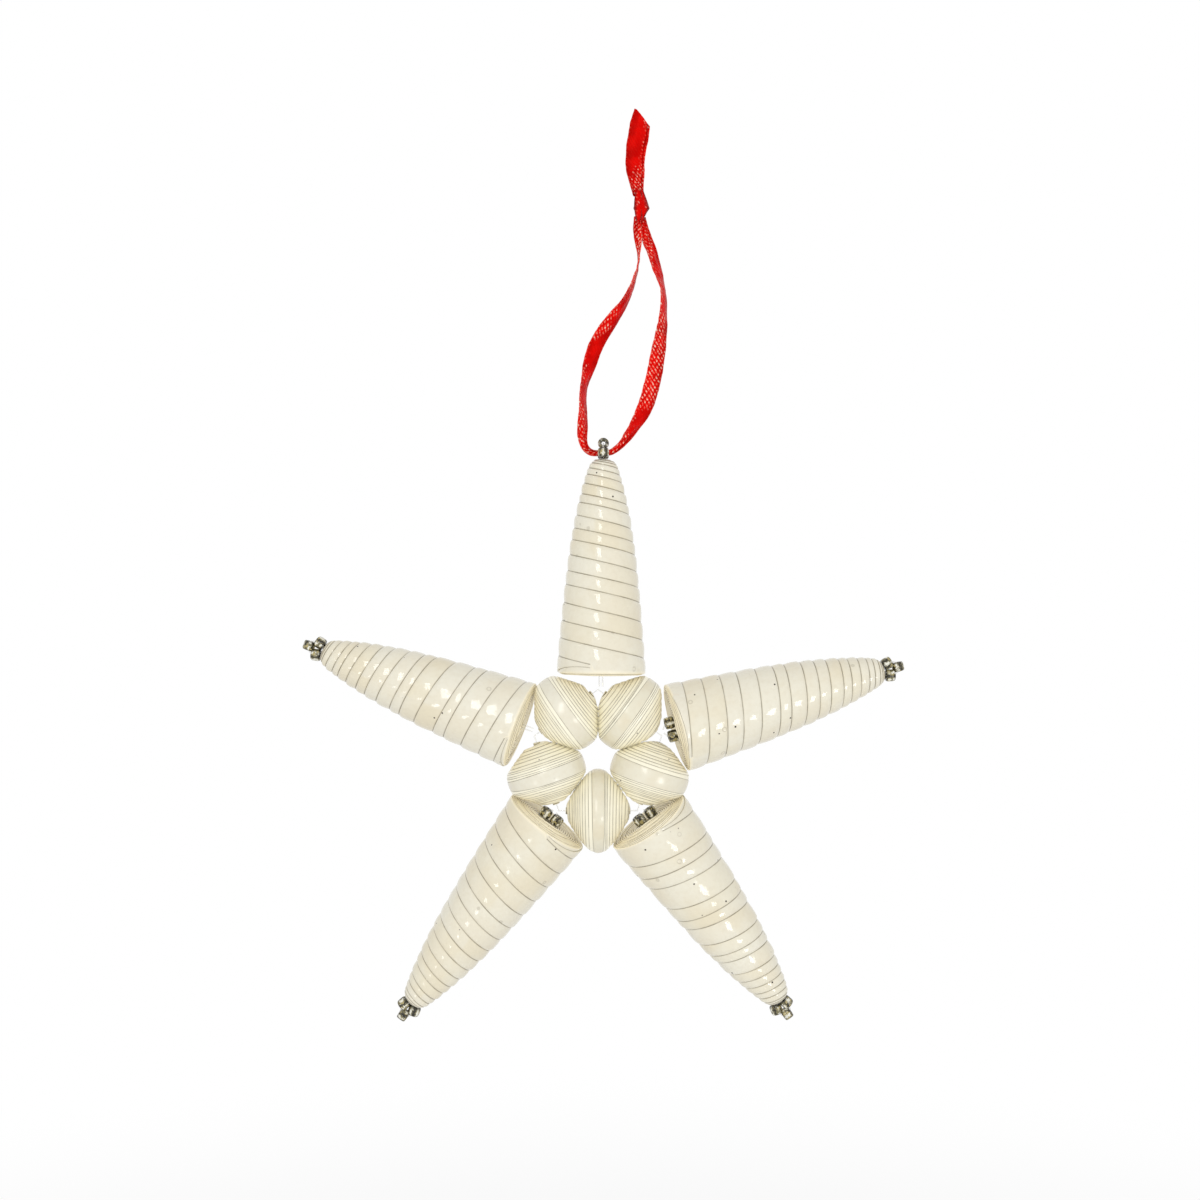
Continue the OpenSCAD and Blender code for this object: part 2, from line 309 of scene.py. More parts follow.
# x, y, z in mm, turn of the ribbon's face in degrees, share of its full width, share of threads with
# painted glints
strandRoutes = {
    "left": [
        (-8.2, 0, -40.2, 50, 0, 0.7), (-9.6, 0, -40.5, 50, 0.25, 0.8), (-11, 0, -40.2, 50, 0.4, 0.8),
        (-12.1, 0, -39, 48, 0.5, 0.7), (-12.5, 0, -37, 44, 0.75, 0.7), (-12.3, 0, -34.2, 54, 1, 0.7),
        (-12.3, 0, -31.4, 63, 1, 0.5), (-12.2, 0, -29, 68, 1, 0.2), (-12, 0, -27, 66, 1, 0.2),
        (-11.4, 0, -24.3, 51, 1, 0.4), (-10.6, 0, -21.5, 32, 1, 0.2), (-9.6, 0, -18.7, 27, 1, 0.15),
        (-8, 0, -15.9, 33, 1, 0.55), (-6, 0, -13.1, 48, 1, 0.5), (-4, 0, -10.3, 66, 1, 0.2),
        (-2.6, 0, -7.4, 76, 1, 0.2), (-1.6, -0.1, -4.6, 82, 1, 0.4), (-1.2, -0.2, -2.6, 90, 1, 0.6),
        (-1.1, -0.4, 0, 100, 0.9, 0.9), (-1.3, -0.5, 2.2, 120, 0.7, 1), (-1.5, -0.5, 4.6, 150, 0.4, 1),
        (-1.4, -0.5, 7, 170, 0.2, 1),
    ],
    "right": [
        (-8.2, 0, -40.2, 60, 0, 0.6), (-7, 0, -40.2, 60, 0.2, 0.7), (-6, 0, -39.7, 60, 0.35, 0.7),
        (-4.7, 0, -38.6, 58, 0.5, 0.6), (-3.4, 0, -37, 52, 0.75, 0.4), (-1.9, 0, -35, 50, 1, 0.2),
        (-0.5, 0, -32.6, 30, 1, 0.2), (0.6, 0, -30, 12, 1, 0.8), (1.4, 0, -27.2, 8, 1, 1),
        (2.1, 0, -24.3, 10, 1, 0.9), (2.6, 0, -21.5, 22, 1, 1), (3.1, 0, -18.7, 33, 1, 0.9),
        (3.5, 0, -15.9, 46, 1, 0.7), (3.9, 0, -13.1, 60, 1, 0.5), (4, 0, -10.3, 67, 1, 0.3),
        (3.8, 0, -7.4, 70, 1, 0.3), (3, 0.1, -4.6, 58, 1, 0.2), (2.4, 0.2, -2.6, 52, 1, 0.3),
        (1.6, 0.4, 0, 46, 0.9, 0.6), (0.7, 0.5, 2.2, 30, 0.7, 0.9), (0, 0.5, 4.6, 15, 0.4, 1),
        (-0.4, 0.5, 7, 10, 0.2, 1),
    ],
}
tailRoute = [
    (-1.2, 0, 11.2, 0, 0.3, 1), (-1.6, 0, 13.6, 0, 0.6, 0.8), (-1.9, 0, 16.4, 0, 1, 0.4),
    (-1.9, 0, 19.2, 0, 1, 0.15), (-1.6, 0, 22, 0, 1, 0.05), (-1.1, 0, 24.6, 0, 1, 0.1),
    (-0.5, 0, 27.5, 0, 0.7, 0.4),
]
tailShifts = {"front": (-0.2, -0.45, 0), "back": (0.4, 0.45, -0.5)}
satinMarks = ("alongRibbon", "acrossRibbon", "glint", "turnedAway")


def routeAt(route, share):
    # a smooth line through the route's points, with its turn and width
    at = share * (len(route) - 1)
    i = min(int(at), len(route) - 2)
    f = at - i
    ends = route[max(i - 1, 0)], route[i], route[i + 1], route[min(i + 2, len(route) - 1)]
    return [
        b + 0.5 * f * (c - a + f * (2 * a - 5 * b + 4 * c - d + f * (3 * (b - c) + d - a)))
        for a, b, c, d in zip(*ends)
    ]


def layRibbon(route, slant, lean, seed):
    # a strip of ribbon along a route, cupped, pleated where it is gathered, with painted glints more
    # towards one edge and painted shade on the other
    look = ribbonLook
    columns, rows = look["columns"], look["rows"]
    path, frames, glints, lengths = [], [], [], [0]
    for column in range(columns + 1):
        share = column / columns
        x, y, z, turn, width, glint = routeAt(route, share)
        before = routeAt(route, max(share - look["stepAlong"], 0))
        after = routeAt(route, min(share + look["stepAlong"], 1))
        ahead = Vector((after[0] - before[0], 0, after[2] - before[2])).normalized()
        normal = Vector((ahead.z, 0, -ahead.x))
        turn = math.radians(turn)
        flat = normal * math.cos(turn) + Vector((0, math.sin(turn), 0))
        up = Vector((0, math.cos(turn), 0)) - normal * math.sin(turn)
        wide = look["gathered"] + (look["width"] - look["gathered"]) * clamp(width)
        path.append(Vector((x, y, z)) * mm)
        glints.append(glint)
        if column:
            lengths.append(lengths[-1] + (path[-1] - path[-2]).length)
        fray = noise.noise(Vector((lengths[-1] / look["fraySize"], seed * look["fraySeed"], 0)))
        frames.append((flat, up, wide * (1 + fray * look["fray"]), clamp(width)))

    def section(column, v):
        # across and out of the ribbon's plane, for v from -0.5 to 0.5
        wide, spread = frames[column][2:]
        fold = math.sqrt(max((look["width"] / 4) ** 2 - (wide / 4) ** 2, 0)) * look["pleatShare"]
        pleat = -0.5 * fold * math.cos(2 * math.pi * look["pleats"] * v)
        cup = look["cup"] * spread * (4 * v * v - look["cupLevel"])
        along = lengths[column] / look["waveSize"]
        wave = noise.noise(Vector((along, v * look["waveAcross"], seed * look["waveSeed"])))
        return wide * v, pleat + cup + look["wave"] * wave * spread

    def place(column, row, outside):
        v = row / rows - 0.5
        flat, up, wide = frames[column][:3]
        x, out = section(column, v)
        beforeX, beforeOut = section(column, max(v - look["stepAcross"], -0.5))
        afterX, afterOut = section(column, min(v + look["stepAcross"], 0.5))
        slope = math.atan2(afterOut - beforeOut, afterX - beforeX)
        half = look["thick"] / 2 * (1 if outside else -1)
        x -= half * math.sin(slope)
        out += half * math.cos(slope)
        spot = path[column] + flat * x + up * out
        cut = max(x, -look["tailBlunt"] * wide) * look["tailRise"]
        spot.z -= slant * (column / columns) ** 2 * cut
        # painted shade on the edge that gets fewer painted glints
        away = look["shadeShare"] * clamp(-2 * lean * v - look["shadeFrom"])
        return spot, (lengths[column] / mm, v * look["width"] / mm, glints[column] + lean * v, away)

    return shapedSlab(columns, rows, place, satinMarks), path, lengths[-1]


def satin():
    # twill weave with light sparkles painted into its colour where the threads would turn to the light
    # (painted highlights), painted shade on the side turned away, and a brighter selvedge
    look = satinLook
    material, paint = newMaterial("redSatin")
    place = paint.add("ShaderNodeTexCoord", out="Object")
    along, across = markOf(paint, "alongRibbon"), markOf(paint, "acrossRibbon")
    turn = 2 * math.pi
    loops = noiseAt(paint, place, look["loop"], 2)
    twill = along + across + loops * look["twillShift"]
    twill = (twill * (turn / look["weave"])).sine() * 0.5 + 0.5
    cross = along * look["crossSlant"] - across + loops * look["crossShift"]
    cross = (cross * (turn / look["cross"])).sine() * 0.5 + 0.5
    patch = (markOf(paint, "glint") + noiseAt(paint, place, look["glintPatch"], 3)).step(*look["patchMask"])
    crossDots = (cross * look["dotCross"] + loops * look["dotLoops"]).step(*look["dotMask"])
    dots = twill.step(*look["twillMask"]) * crossDots
    edge = paint.maths("ABSOLUTE", across).step(look["selvedge"], look["half"])
    edgeThreads = (along * (turn / look["cross"])).sine().step(*look["edgeMask"])
    edgeDots = edge * edgeThreads * loops.step(*look["edgeLoops"])
    cloud = noiseAt(paint, place, look["cloud"], 3).step(*look["cloudMask"])
    tone = cloud.colours(look["red"], look["deep"])
    tone = (twill * look["twillShare"]).colours(tone, look["deep"])
    tone = (edgeDots * look["edgeShare"]).colours(tone, look["edge"])
    # painted highlights: salmon and near-white sparkles where the threads would catch the light
    tone = (dots * patch * look["glintShare"]).colours(tone, look["spark"])
    tone = (dots * patch * loops.step(*look["brightMask"])).colours(tone, look["bright"])
    # painted shade: deep red where the ribbon's side turns away from the light
    tone = (markOf(paint, "turnedAway") * look["awayShare"]).colours(tone, look["away"])
    link(tone, principled(material)["Base Color"])
    link(look["rough"] - dots * look["dotGloss"], principled(material)["Roughness"])
    bumpTo(material, paint, (twill + cross * look["crossBump"] + loops) * look["bumpDepth"])
    principled(material)["Specular IOR Level"].default_value = look["specular"]
    principled(material)["Specular Tint"].default_value = look["specularTint"]
    return material


redSatin = satin()
tails, strands = [], {}
for number, (name, shift) in enumerate(tailShifts.items()):
    moved = [(x + shift[0], y + shift[1], z + shift[2], *others) for x, y, z, *others in tailRoute]
    tail = layRibbon(moved, 1, ribbonLook["tailLean"], number + ribbonLook["tailSeed"])[0]
    tails.append(standIn(tail, f"satin_tail_{name}", redSatin, "ribbon", f"ribbon_tail_{name}"))
for number, (name, route) in enumerate(strandRoutes.items()):
    strand, path, length = layRibbon(route, 0, ribbonLook["strandLean"], number + ribbonLook["strandSeed"])
    standIn(strand, f"satin_strand_{name}", redSatin, "ribbon", f"ribbon_{name}")
    strands[name] = strand, path, length

# Knot: the folds of an overhand knot, as lobes grown into one another
knotLook = {
    "lobes": [
        # place and half sizes in mm
        ((-1.15, -1.15, 9.1), (0.9, 0.75, 3.3)),
        ((-0.95, 0.35, 9.2), (1.1, 0.95, 2.4)),
        ((-0.9, 0.1, 6.9), (0.9, 0.8, 1.0)),
        ((-1.1, 0.0, 11.3), (0.85, 0.7, 1.1)),
    ],
    "folds": [
        # place, radius at the bottom and at the top, and height in mm
        ((-0.55, -0.3, 10.5), (1.6, 0.4, 3.6)),
        ((-0.55, -0.3, 7.7), (0.5, 1.6, 2.0)),
    ],
    "sides": 40, "rings": 24, "voxel": 0.1 * mm, "smooth": 4, "smoothing": 0.5,
    "crumple": 0.1 * mm, "crumpleSize": 1.1 * mm, "crumpleStretch": (1.6, 1.6, 0.5),
    # slant of the weave, share of painted glints, and from where to where painted shade darkens the sides
    # as they turn away
    "slant": 0.3, "glint": 0.35, "awayFrom": 0.4, "awayOver": 0.4,
}


def tieKnot():
    look, lobes = knotLook, []
    for place, (bottom, top, height) in look["folds"]:
        deselectAll()
        bpy.ops.mesh.primitive_cone_add(
            vertices=look["sides"], radius1=bottom * mm, radius2=top * mm, depth=height * mm,
            location=Vector(place) * mm,
        )
        bpy.ops.object.transform_apply(location=True, rotation=True, scale=True)
        lobes.append(bpy.context.object)
    for place, size in look["lobes"]:
        deselectAll()
        bpy.ops.mesh.primitive_uv_sphere_add(
            segments=look["sides"], ring_count=look["rings"], radius=mm, location=Vector(place) * mm,
        )
        resizeActive(size, Vector(place) * mm)
        bpy.ops.object.transform_apply(location=True, rotation=True, scale=True)
        lobes.append(bpy.context.object)
    deselectAll()
    for lobe in lobes:
        lobe.select_set(True)
    bpy.context.view_layer.objects.active = lobes[0]
    bpy.ops.object.join()
    knot = lobes[0]
    applyModifier(knot, "REMESH", mode="VOXEL", voxel_size=look["voxel"])
    applyModifier(knot, "SMOOTH", factor=look["smoothing"], iterations=look["smooth"])
    marks = {name: [] for name in satinMarks}
    for vertex in knot.data.vertices:
        stretched = Vector([part * share for part, share in zip(vertex.co, look["crumpleStretch"])])
        fold = noise.noise(stretched / look["crumpleSize"])
        vertex.co += vertex.normal * fold * look["crumple"]
        marks["alongRibbon"].append((vertex.co.z + look["slant"] * vertex.co.x) / mm)
        marks["acrossRibbon"].append(vertex.co.x / mm)
        marks["glint"].append(look["glint"])
        # painted shade: the sides that face sideways are darkened
        marks["turnedAway"].append(clamp((abs(vertex.normal.x) - look["awayFrom"]) / look["awayOver"]))
    carryMarks(knot, marks)
    closeNormals(knot)
    return standIn(knot, "satin_knot", redSatin, "ribbon", "ribbon_knot")


knot = tieKnot()
for name, (strand, path, length) in strands.items():
    onIt = [knot, *tails] if name == "left" else []
    print(f"ribbon strand {name}: {length / mm:.1f} mm")


cardMarks = ("creaseGap", "rawEdge", "turnTone")


def paintedCard(name, look):
    # ivory paint under gloss varnish; the creases where a turn of card ends are darkened by painted shade
    # and dust, and the raw lower edges and the ring beads' flanks are painted paler and glowing, as painted
    # light
    material, paint = newMaterial(name)
    place = paint.add("ShaderNodeTexCoord", out="Object")
    gap, raw, tide = (markOf(paint, mark) for mark in cardMarks)
    cloud = noiseAt(paint, place, look["cloud"], 3).step(*look["cloudMask"])
    grain = noiseAt(paint, place, look["grain"], 3)
    # crease lines: painted shade in the crevice, with dust that varies its strength
    dusty = noiseAt(paint, place, look["dusty"], 2).step(*look["dustyMask"], look["dustyLeast"], 1)
    crease = gap.step(look["creaseWidth"], 0) * dusty
    flank = gap.step(*look["flankMask"])
    specks, someSpecks = spotsAt(paint, place, look["speckSpacing"], look["speckShare"])
    speck = specks.step(look["speckSize"], look["speckSize"] * look["speckCore"]) * someSpecks
    bubbles, someBubbles = spotsAt(paint, place, look["bubbleSpacing"], look["bubbleShare"])
    size = look["bubbleSize"]
    inner, outer = look["bubbleRim"]
    bubble = bubbles.step(size * inner, size) * bubbles.step(size * outer, size) * someBubbles
    tone = cloud.colours(look["ivory"], look["warm"])
    tone = (tide * look["tideShare"]).colours(tone, look["pale"])
    tone = (grain.step(*look["grainMask"]) * look["grainShare"]).colours(tone, look["dust"])
    # painted light: the ring beads' flanks are made paler
    tone = (flank * look["flankShare"]).colours(tone, look["flank"])
    # raw card colour, made paler as painted light on the shaded lower edges
    tone = (raw * look["rawShare"]).colours(tone, look["raw"])
    # painted shade and dust darken the crease lines
    tone = (crease * look["creaseShare"]).colours(tone, look["creaseTone"])
    tone = (bubble * look["bubbleTint"]).colours(tone, look["creaseTone"])
    tone = speck.colours(tone, look["speck"])
    link(tone, principled(material)["Base Color"])
    # painted glow: the raw lower edges and the ring flanks give off light of their own to brighten them
    # where they lie in shade
    glow = (raw * look["rawGlow"]).colours((0, 0, 0), look["raw"])
    glow = (flank * look["flankGlow"]).colours(glow, look["flank"])
    link(crease.colours(glow, (0, 0, 0)), principled(material)["Emission Color"])
    principled(material)["Emission Strength"].default_value = look["glow"]
    dull = look["rough"] + grain * look["roughSpread"] + crease * look["creaseDull"] + raw * look["rawDull"]
    link(dull, principled(material)["Roughness"])
    peel = noiseAt(paint, place, look["peel"], 2) * look["peelDepth"]
    wave = noiseAt(paint, place, look["wave"], 1) * look["waveDepth"]
    bumpTo(material, paint, peel + wave + bubble * look["bubbleDepth"] - speck * look["bubbleDepth"])
    principled(material)["IOR"].default_value = look["ior"]
    principled(material)["Specular IOR Level"].default_value = look["specular"]
    return material


pointPaintLook = {
    "ivory": (244, 238, 217), "warm": (240, 230, 203), "pale": (247, 244, 231), "dust": (226, 215, 188),
    # creaseTone is the painted shade and dust of the crease lines, and also tints the bubble rims
    "raw": (250, 240, 212), "flank": (246, 240, 222), "creaseTone": (112, 98, 64), "speck": (48, 36, 22),
    "tideShare": 0.5, "grainShare": 0.2, "rawShare": 0.85, "creaseShare": 0.95, "flankShare": 0,
    # strength of the painted glow, and how much of it the raw edges and the flanks give
    "glow": 0.3, "rawGlow": 0.45, "flankGlow": 0,
    "cloud": 9 * mm, "grain": 0.9 * mm, "dusty": 3 * mm,
    # where each mask starts and where it is full; flank and crease in mm from a turn's edge
    "cloudMask": (0.35, 0.65), "grainMask": (0.4, 0.75), "dustyMask": (0.25, 0.7), "dustyLeast": 0.6,
    "flankMask": (2.5, 0.8), "creaseWidth": 0.32,
    "speckSpacing": 1.6 * mm, "speckShare": 0.1, "speckSize": 0.24 * mm, "speckCore": 0.6,
    "bubbleSpacing": 2.2 * mm, "bubbleShare": 0.06, "bubbleSize": 0.42 * mm, "bubbleDepth": 0.03 * mm,
    "bubbleRim": (0.5, 1.5), "bubbleTint": 0.25,
    "rough": 0.06, "roughSpread": 0.05, "creaseDull": 0.25, "rawDull": 0.3, "ior": 1.5, "specular": 0.5,
    "peel": 0.8 * mm, "peelDepth": 0.02 * mm, "wave": 3.2 * mm, "waveDepth": 0.13 * mm,
}
ringPaintLook = {
    **pointPaintLook,
    # the flanks are painted paler and glowing, as painted light
    "ivory": (241, 235, 212), "warm": (238, 228, 200), "flank": (255, 250, 228),
    "creaseTone": (112, 102, 78), "rawShare": 0.2, "rawGlow": 0, "flankShare": 0.9, "flankGlow": 0.22,
    "rough": 0.18,
    "cloud": 5 * mm, "creaseWidth": 0.19, "speckShare": 0.03, "bubbleShare": 0.02,
}
pointPaint = paintedCard("ivoryPointCard", pointPaintLook)
ringPaint = paintedCard("ivoryRingCard", ringPaintLook)
print("card paints made")


def curveThrough(knots, at):
    # height at a place on a smooth curve through (place, height) knots
    last = len(knots) - 2
    i = next((i for i in range(last + 1) if at <= knots[i + 1][0]), last)
    (x0, y0), (x1, y1) = knots[i], knots[i + 1]

    def slope(j):
        before, after = knots[max(j - 1, 0)], knots[min(j + 1, len(knots) - 1)]
        return (after[1] - before[1]) / (after[0] - before[0])

    span = x1 - x0
    t = (at - x0) / span
    rise = t * t * (3 - 2 * t)
    return (y0 * (1 - rise) + y1 * rise + span * slope(i) * t * (1 - t) ** 2
            - span * slope(i + 1) * t * t * (1 - t))


def between(values, at):
    whole = int(at)
    return values[whole] + (values[whole + 1] - values[whole]) * (at - whole)


def measureBead(node, placed):
    # length, largest radius, and radius at the far end of a card bead, from its CAD node
    inside = placed.inverted()
    spots = [inside @ vertex.co for vertex in nodes[node].data.vertices]
    length = max(spot.z for spot in spots)
    endSlice = 0.01 * mm
    widest = max(math.hypot(spot.x, spot.y) for spot in spots)
    tip = max(math.hypot(spot.x, spot.y) for spot in spots if spot.z > length - endSlice)
    return length, widest, tip


# Points: a long card strip, wide at its inner end, rolled up so that each turn ends short of the turn below
pointRoll = {
    "bore": 1.1 * mm, "coreTurns": 3.5, "coreStep": 0.05 * mm, "perTurn": 64, "perTongueTurn": 150,
    "straightShare": 0.56, "bowBend": 4, "tipRound": 1.4 * mm, "tipDrop": 0.75 * mm,
    "followShare": 0.3, "bulge": 0.14 * mm, "bulgeBand": 3 * mm, "leastBand": 0.01 * mm,
    "layerGap": 0.02 * mm, "rimTurns": 4.6, "rimBend": 1.4, "mouth": 0.5 * mm, "uneven": 0.05 * mm,
    "swellFrom": 3.4 * mm, "swellOver": 1.2 * mm, "swellFade": 1.6, "swellTurns": 3, "swellFlat": 0.75,
    "ripple": 0.03 * mm, "rippleSize": 3 * mm,
    # the strip's pointed end
    "tongueTurn": 0.25, "tongueFine": 1.2, "tongueBlunt": 0.25 * mm, "tongueLift": 1.15,
    "tongueThin": 0.35, "tongueLeft": 0.3,
    # rows of vertices across the strip: its lower edge, the part that shows, and its rounded upper edge
    "foot": 0.12 * mm, "footShare": 0.2, "footRound": 0.5, "clear": 0.05 * mm, "clearShare": 0.2,
    "rowGap": 0.01 * mm, "leastRow": 0.001 * mm, "bandRows": 5, "shoulder": (0.62, 0.3, 0.08, 0),
    "edgeRound": 0.6 * mm, "edgeLeft": 0.1, "edgeOfBand": 0.45, "edgeOfTurn": 0.3,
    # marks for the paint: how thin the lines on the base are, no line at all in mm, height of the raw edge,
    # which the paint makes paler and glowing as painted light
    "baseLines": 2.5, "noLine": 9, "rawHeight": 0.3 * mm,
}
# in mm: where the strip's end shows (across, up), how its edge tilts, the base's shape (how far its rim
# lies up at the sides, how much more at the front, and how far the turns inside swell out), and how high
# the turns' edges lie on the front
pointWinding = {
    "top": {
        "tongue": (-2.05, 1.85), "tilt": 1.25, "base": (0.4, 0, 0.3),
        "edges": [5.4, 8.9, 12.5, 16.3, 19.1, 22.3, 25.5, 27.9, 30.5, 33.3, 35.1, 37.3, 39.3, 40.7, 41.9],
    },
    "right": {
        "tongue": (5.9, 0.25), "tilt": 1.0, "base": (0.02, 0, 1.2),
        "edges": [
            1.4, 5.3, 9.1, 12.5, 16.4, 20.3, 22.7, 26.1, 28.9, 31.4, 34.2, 36.1, 38.2, 40.1, 41.4, 42.6,
        ],
    },
    "lower_right": {
        "tongue": (-1.4, 1.0), "tilt": 1.05, "base": (0.15, 0.7, 1.6),
        "edges": [6.7, 9.6, 12.5, 18.0, 21.0, 23.4, 27.8, 30.7, 32.7, 36.2, 38.4, 40.3, 42.1, 43.6, 44.9],
    },
    "lower_left": {
        "tongue": (-1.3, 0.6), "tilt": 1.3, "base": (0.3, -0.2, 1.2),
        "edges": [4.6, 8.4, 12.3, 16.2, 19.9, 23.3, 26.6, 29.7, 32.6, 35.4, 38.0, 40.1, 42.4, 44.0, 45.4],
    },
    "left": {
        "tongue": (-2.6, 0.8), "tilt": 1.25, "base": (0.16, 0, 1.1),
        "edges": [3.9, 7.8, 12.0, 14.3, 18.6, 22.3, 24.5, 27.7, 30.6, 32.8, 35.3, 37.5, 39.0, 40.8, 42.1],
    },
}
tipBands = [0.45, 0.33, 0.22]  # how the last turns share what is left up to the tip


def rollPoint(name, seed):
    roll, winding = pointRoll, pointWinding[name]
    placed = beadFrame(f"{name}_point_spin")
    length, rimRadius, tipRadius = measureBead(f"point_bead_{name}", placed)
    random.seed(seed)
    tongueSide, tongueUp, tilt, rim, recess, swell = (
        value * mm for value in (*winding["tongue"], winding["tilt"], *winding["base"])
    )
    endAngle = -math.pi / 2 + math.asin(tongueSide / rimRadius)
    firstTurn = (endAngle + math.pi / 2) / (2 * math.pi) % 1
    frontRim = rim + recess
    heights = [height * mm for height in winding["edges"]]
    left = length - heights[-1]
    heights += [length - left * (1 - sum(tipBands[:i + 1])) for i in range(len(tipBands))]
    tipTurn = firstTurn + len(heights) - 1
    allTurns = tipTurn + roll["coreTurns"]
    tongueTop = tongueUp + roll["tongueBlunt"] + tilt * math.cos(endAngle)
    knots = [(0, tongueTop)] + [(firstTurn + i, height) for i, height in enumerate(heights)]
    lumps = [random.uniform(-1, 1) for turn in range(math.ceil(allTurns) + 3)]

    def envelope(z):
        share = clamp(z / length)
        bow = roll["straightShare"] * share + (1 - roll["straightShare"]) * share ** roll["bowBend"]
        tip = clamp(1 - (length - z) / roll["tipRound"])
        return rimRadius - (rimRadius - tipRadius) * bow - roll["tipDrop"] * tip * tip

    @lru_cache(maxsize=None)
    def topEdge(turn):
        if turn >= tipTurn:
            return length - roll["coreStep"] * (turn - tipTurn)
        height = curveThrough(knots, turn)
        lean = tilt * envelope(height) / rimRadius * math.cos(endAngle - 2 * math.pi * turn)
        return min(height - lean, length)

    @lru_cache(maxsize=None)
    def lowEdge(turn):
        front = max(0, -math.sin(endAngle - 2 * math.pi * turn))
        step = (rim + recess * front * front) * clamp(1 - turn / roll["rimTurns"]) ** roll["rimBend"]
        core = clamp((turn - tipTurn) / roll["coreTurns"])
        low = step + roll["mouth"] * core * core + roll["uneven"] * (1 + between(lumps, turn))
        inner = clamp((envelope(lapEdge(turn)) - roll["swellFrom"]) / roll["swellOver"])
        # a few turns lie level, then the next ones stand out
        whole, part = divmod(turn / roll["swellTurns"], 1)
        stair = whole + clamp((part - roll["swellFlat"]) / (1 - roll["swellFlat"]))
        radius = envelope(lapEdge(roll["swellTurns"] * stair))
        low -= swell * front * front * clamp(1 - (radius / rimRadius) ** 2) ** roll["swellFade"] * inner
        lift = clamp(1 - turn / roll["tongueTurn"])
        return low + (topEdge(turn) - 2 * roll["tongueBlunt"] - low) * lift ** roll["tongueLift"]

    @lru_cache(maxsize=None)
    def lapEdge(turn):
        # where the next turn outside ends on this one
        return min(topEdge(turn - 1), topEdge(turn)) if turn >= 1 else min(frontRim, topEdge(turn))

    @lru_cache(maxsize=None)
    def bandEnds(turn):
        # radius at both ends of the part of a turn that shows
        low, high = envelope(lapEdge(turn)), envelope(topEdge(turn))
        spread = (low - high) * (1 - roll["followShare"]) / 2
        return low - spread * clamp(turn), high + spread

    def outerRadius(turn, z):
        if turn >= tipTurn:
            tip = envelope(length)
            return tip - (tip - roll["bore"]) * (turn - tipTurn) / roll["coreTurns"]
        lap, top = lapEdge(turn), topEdge(turn)
        share = clamp((z - lap) / max(top - lap, roll["leastBand"]))
        low, high = bandEnds(turn)
        bulge = roll["bulge"] * min(1, (top - lap) / roll["bulgeBand"]) * 4 * share * (1 - share)
        radius = low + (high - low) * share + bulge
        if turn < roll["tongueThin"]:
            under = outerRadius(turn + 1, z)
            thin = roll["tongueLeft"] + (1 - roll["tongueLeft"]) * turn / roll["tongueThin"]
            radius = under + (radius - under) * thin
        return radius

    def innerRadius(turn, z):
        if turn + 1 > allTurns:
            return roll["bore"]
        return min(outerRadius(turn + 1, z) + roll["layerGap"], outerRadius(turn, z) - roll["layerGap"])

    tongueColumns = int(roll["tongueTurn"] * roll["tongueFine"] * roll["perTongueTurn"])
    tongueTurns = [i / roll["perTongueTurn"] for i in range(tongueColumns)]
    start = tongueColumns / roll["perTongueTurn"]
    plain = math.ceil((allTurns - start) * roll["perTurn"])
    turns = tongueTurns + [start + (allTurns - start) * i / plain for i in range(plain + 1)]
    bandRows = roll["bandRows"]

    def rowHeights(turn):
        low, top = lowEdge(turn), topEdge(turn)
        lap = clamp(lapEdge(turn), low, top)
        least, gap = roll["leastRow"], roll["rowGap"]
        rounded = min(roll["edgeRound"], roll["edgeOfBand"] * (top - lap), roll["edgeOfTurn"] * (top - low))
        rounded = max(rounded, least)
        foot = clamp(roll["footShare"] * (top - low), least, roll["foot"])
        clear = min(roll["clear"], roll["clearShare"] * (top - lap))
        # the skirt is where the next turn outside begins
        outside = lowEdge(turn - 1) if turn >= 1 else low
        skirt = clamp(outside, low + foot, max(lap - 4 * gap, low + foot))
        under = [low, low + foot, (low + foot + skirt) / 2, skirt - gap, skirt + 2 * gap]
        under.append(max(skirt + 2 * gap, lap - 2 * gap))
        band = [lap + clear + (top - rounded - lap - clear) * i / bandRows for i in range(bandRows + 1)]
        shoulder = [top - rounded * share for share in roll["shoulder"]]
        return under + band + shoulder, rounded, foot, skirt

    spots = [rowHeights(turn) for turn in turns]

    def place(column, row, outside):
        turn = turns[column]
        heightsHere, rounded, foot, skirt = spots[column]
        z = heightsHere[row]
        outer, inner = outerRadius(turn, z), innerRadius(turn, z)
        radius = inner
        top, low = topEdge(turn), lowEdge(turn)
        if outside:
            thick = (outer - inner) * (1 - roll["edgeLeft"])
            into = clamp((z - top + rounded) / rounded)
            under = clamp((low + foot - z) / foot)
            edgeSink = 1 - math.sqrt(1 - into * into)
            footSink = roll["footRound"] * (1 - math.sqrt(1 - under * under))
            radius = outer - thick * max(edgeSink, footSink)
        angle = endAngle - 2 * math.pi * turn
        spot = Vector((radius * math.cos(angle), radius * math.sin(angle), z))
        if turn < tipTurn:
            ripple = noise.noise(spot / roll["rippleSize"] + Vector((seed, 0, 0))) * roll["ripple"]
            spot += Vector((math.cos(angle), math.sin(angle), 0)) * ripple
        gap = roll["noLine"]
        if turn >= 1:
            gap = min(abs(z - lapEdge(turn)), roll["baseLines"] * abs(z - skirt)) / mm
        # the lowest part of each turn: raw card edge, painted paler and glowing as painted light
        rawEdge = clamp(1 - (z - low) / roll["rawHeight"]) if turn > roll["tongueTurn"] else 0
        tone = 0.5 + 0.5 * lumps[int(turn) + 1]
        return placed @ spot, (gap, rawEdge, tone)

    card = shapedSlab(len(turns) - 1, len(spots[0][0]) - 1, place, cardMarks)
    standIn(card, f"card_point_{name}", pointPaint, "point_card", f"point_bead_{name}")


for seed, name in enumerate(pointNames):
    rollPoint(name, seed + 1)
print("points rolled")

